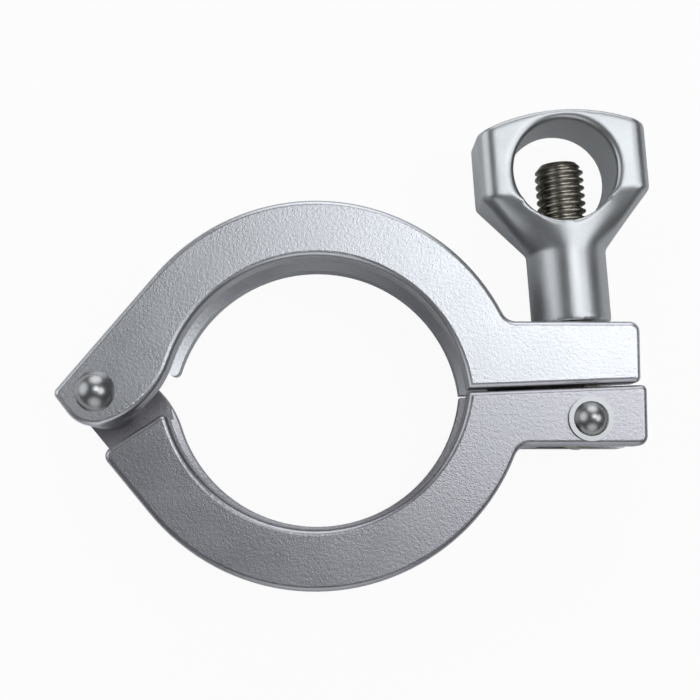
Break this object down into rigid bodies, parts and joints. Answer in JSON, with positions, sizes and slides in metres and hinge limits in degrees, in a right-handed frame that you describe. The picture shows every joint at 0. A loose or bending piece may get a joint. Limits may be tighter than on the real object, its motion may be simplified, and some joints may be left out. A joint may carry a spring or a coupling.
{
  "type": "sanitary hinged clamp",
  "caption": "Hinged two-jaw clamp with a V groove for tube ferrules, closed by a swing bolt and a wing nut.",
  "frame": {"origin": "centre of the ring, halfway through its thickness", "axes": "+Z along the ring's axis (the tube's axis); +X from the hinge to the swing bolt; +Y to the jaw that the nut bears on"},
  "size_m": [0.0921, 0.0746, 0.0246],
  "materials": {
    "cast_steel": "tumbled investment casting, satin with a fine orange peel",
    "nut_steel": "tumbled casting, smooth satin",
    "bolt_steel": "rolled thread, slightly dull",
    "rivet_steel": "polished rivet head"
  },
  "bodies": {
    "lower_jaw": {"lower_jaw": "cast_steel", "hinge_pin": "rivet_steel", "bolt_pin": "rivet_steel"},
    "upper_jaw": {"upper_jaw": "cast_steel"},
    "swing_bolt": {"swing_bolt": "bolt_steel"},
    "wing_nut": {"wing_nut": "nut_steel"}
  },
  "joints": [
    {"name": "bolt_swing", "type": "hinge", "parent": "lower_jaw", "child": "swing_bolt", "pos_m": [0.0415, -0.0041, 0], "axis": [0, 0, -1], "range_deg": [0, 100]},
    {"name": "nut_travel", "type": "slide", "parent": "swing_bolt", "child": "wing_nut", "axis": [-0.068, 0.9977, 0], "range_m": [0, 0.0226]},
    {"name": "jaw_hinge", "type": "hinge", "parent": "lower_jaw", "child": "upper_jaw", "pos_m": [-0.0333, 0, 0], "axis": [0, 0, 1], "range_deg": [0, 6.51]}
  ],
  "couplings": [
    {"joint": "nut_travel", "follows": "bolt_swing", "m_per_rad": 0.012892},
    {"joint": "jaw_hinge", "follows": "bolt_swing", "ratio": 0.065}
  ]
}
